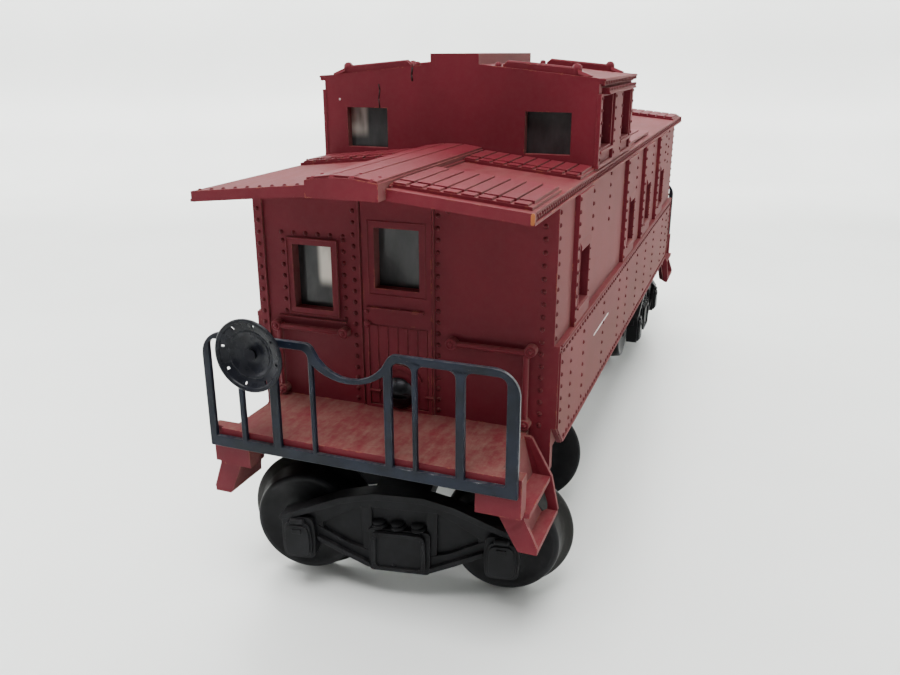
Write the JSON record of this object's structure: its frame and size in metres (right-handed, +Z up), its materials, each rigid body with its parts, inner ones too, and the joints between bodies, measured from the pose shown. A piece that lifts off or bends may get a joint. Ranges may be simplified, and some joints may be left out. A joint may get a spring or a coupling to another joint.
{
  "type": "model caboose",
  "caption": "Model caboose with end platforms, stamped railings, roof cupola and swivelling four-wheel trucks.",
  "frame": {"origin": "centre of the overall length and width, on the table plane under the wheel flanges", "axes": "+X along the car towards the coupler end, +Y across the car, +Z up"},
  "size_m": [0.1978, 0.0602, 0.0869],
  "materials": {
    "maroon_plastic": "moulded, slightly dusty satin",
    "black_plastic": "moulded black, slight sheen",
    "black_steel": "blue-black stamped steel, worn at the edges",
    "bare_steel": "plain zinc-plated steel",
    "smoky_pane": "dark glossy window insert"
  },
  "bodies": {
    "car_body": {"body_shell": "maroon_plastic", "frame_plate": "black_steel", "rail_near": "black_steel", "rail_far": "black_steel", "brake_pin_near": "bare_steel", "brake_pin_far": "bare_steel", "body_screws": "bare_steel", "glazing_end_near": "smoky_pane", "glazing_end_far": "smoky_pane", "glazing_cupola_near": "smoky_pane", "glazing_cupola_far": "smoky_pane", "kingpin_near": "bare_steel", "kingpin_far": "bare_steel"},
    "near_truck": {"near_bolster": "black_plastic", "near_side_a": "black_plastic", "near_side_b": "black_plastic"},
    "far_truck": {"far_bolster": "black_plastic", "far_side_a": "black_plastic", "far_side_b": "black_plastic", "coupler_head": "black_plastic", "coupler_pin": "bare_steel"},
    "near_wheelset_1": {"near_axle_1": "bare_steel", "near_wheel_1a": "black_plastic", "near_wheel_1b": "black_plastic"},
    "near_wheelset_2": {"near_axle_2": "bare_steel", "near_wheel_2a": "black_plastic", "near_wheel_2b": "black_plastic"},
    "far_wheelset_1": {"far_axle_1": "bare_steel", "far_wheel_1a": "black_plastic", "far_wheel_1b": "black_plastic"},
    "far_wheelset_2": {"far_axle_2": "bare_steel", "far_wheel_2a": "black_plastic", "far_wheel_2b": "black_plastic"},
    "near_brake_wheel": {"brake_wheel_near": "black_plastic"},
    "far_brake_wheel": {"brake_wheel_far": "black_plastic"},
    "knuckle": {"coupler_knuckle": "black_plastic"}
  },
  "joints": [
    {"name": "near_truck_swivel", "type": "hinge", "parent": "car_body", "child": "near_truck", "pos_m": [-0.0657, 0, 0.018], "axis": [0, 0, 1], "continuous": true},
    {"name": "far_truck_swivel", "type": "hinge", "parent": "car_body", "child": "far_truck", "pos_m": [0.0567, 0, 0.018], "axis": [0, 0, 1], "continuous": true},
    {"name": "near_wheelset_1_spin", "type": "hinge", "parent": "near_truck", "child": "near_wheelset_1", "pos_m": [-0.06865, 0.01674, 0.011], "axis": [-0.9848, -0.1736, 0], "continuous": true},
    {"name": "near_wheelset_2_spin", "type": "hinge", "parent": "near_truck", "child": "near_wheelset_2", "pos_m": [-0.06275, -0.01674, 0.011], "axis": [-0.9848, -0.1736, 0], "continuous": true},
    {"name": "far_wheelset_1_spin", "type": "hinge", "parent": "far_truck", "child": "far_wheelset_1", "pos_m": [0.0737, 0, 0.011], "axis": [0, 1, 0], "continuous": true},
    {"name": "far_wheelset_2_spin", "type": "hinge", "parent": "far_truck", "child": "far_wheelset_2", "pos_m": [0.0397, 0, 0.011], "axis": [0, 1, 0], "continuous": true},
    {"name": "near_brake_wheel_spin", "type": "hinge", "parent": "car_body", "child": "near_brake_wheel", "pos_m": [-0.0969, 0.0149, 0.0449], "axis": [1, 0, 0], "continuous": true},
    {"name": "far_brake_wheel_spin", "type": "hinge", "parent": "car_body", "child": "far_brake_wheel", "pos_m": [0.0879, -0.0149, 0.0449], "axis": [1, 0, 0], "continuous": true},
    {"name": "knuckle_swing", "type": "hinge", "parent": "far_truck", "child": "knuckle", "pos_m": [0.0927, -0.0022, 0.0135], "axis": [0, 0, 1], "range_deg": [-40, 0]}
  ]
}
